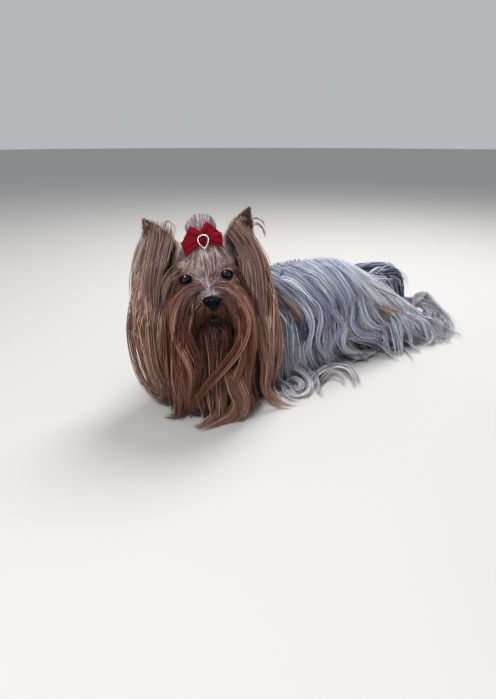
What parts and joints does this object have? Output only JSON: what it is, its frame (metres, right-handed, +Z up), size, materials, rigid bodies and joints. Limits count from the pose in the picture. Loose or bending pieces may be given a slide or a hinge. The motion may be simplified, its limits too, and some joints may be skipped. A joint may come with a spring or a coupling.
{
  "type": "yorkshire terrier model",
  "caption": "Still, life-size model of a small terrier in full show coat, lying on its belly with hind legs stretched back, head turned, hair tied up with a red bow.",
  "frame": {"origin": "on the floor, under the middle of the model's bounding box", "axes": "+Z up; the body faces -Y, so the hind feet point to +Y; +X is the dog's left, to which the head is turned"},
  "size_m": [0.2138, 0.4712, 0.2027],
  "materials": {
    "skin": "matt skin under a short coat",
    "gold_coat": "long silky tan hair, darker at the roots",
    "silver_coat": "long silky silver and steel blue hair",
    "topknot_hair": "silky cream hair",
    "tail_coat": "long dark steel blue hair",
    "nose_leather": "moist black leather",
    "eye": "polished, very dark brown",
    "velvet": "red velvet",
    "brooch_rim": "pale polished metal",
    "brooch_gem": "faceted dark red glass"
  },
  "bodies": {
    "root": {"beard": "gold_coat", "body_coat_left": "silver_coat", "body_coat_right": "silver_coat", "bow_knot": "velvet", "bow_loop_lower_left": "velvet", "bow_loop_lower_right": "velvet", "bow_loop_upper_left": "velvet", "bow_loop_upper_right": "velvet", "brooch_gem": "brooch_gem", "brooch_rim": "brooch_rim", "chest_coat": "gold_coat", "ear_fall_left": "gold_coat", "ear_fall_right": "gold_coat", "ear_left": "skin", "ear_right": "skin", "eye_left": "eye", "eye_right": "eye", "fore_leg_left": "skin", "fore_leg_right": "skin", "fore_paw_left": "skin", "fore_paw_right": "skin", "head": "skin", "hind_foot_left": "skin", "hind_foot_right": "skin", "hind_leg_left": "skin", "hind_leg_right": "skin", "mane": "silver_coat", "moustache_left": "gold_coat", "moustache_right": "gold_coat", "muzzle": "skin", "neck": "skin", "nose": "nose_leather", "tail": "tail_coat", "topknot": "topknot_hair", "trunk": "skin"}
  },
  "joints": []
}
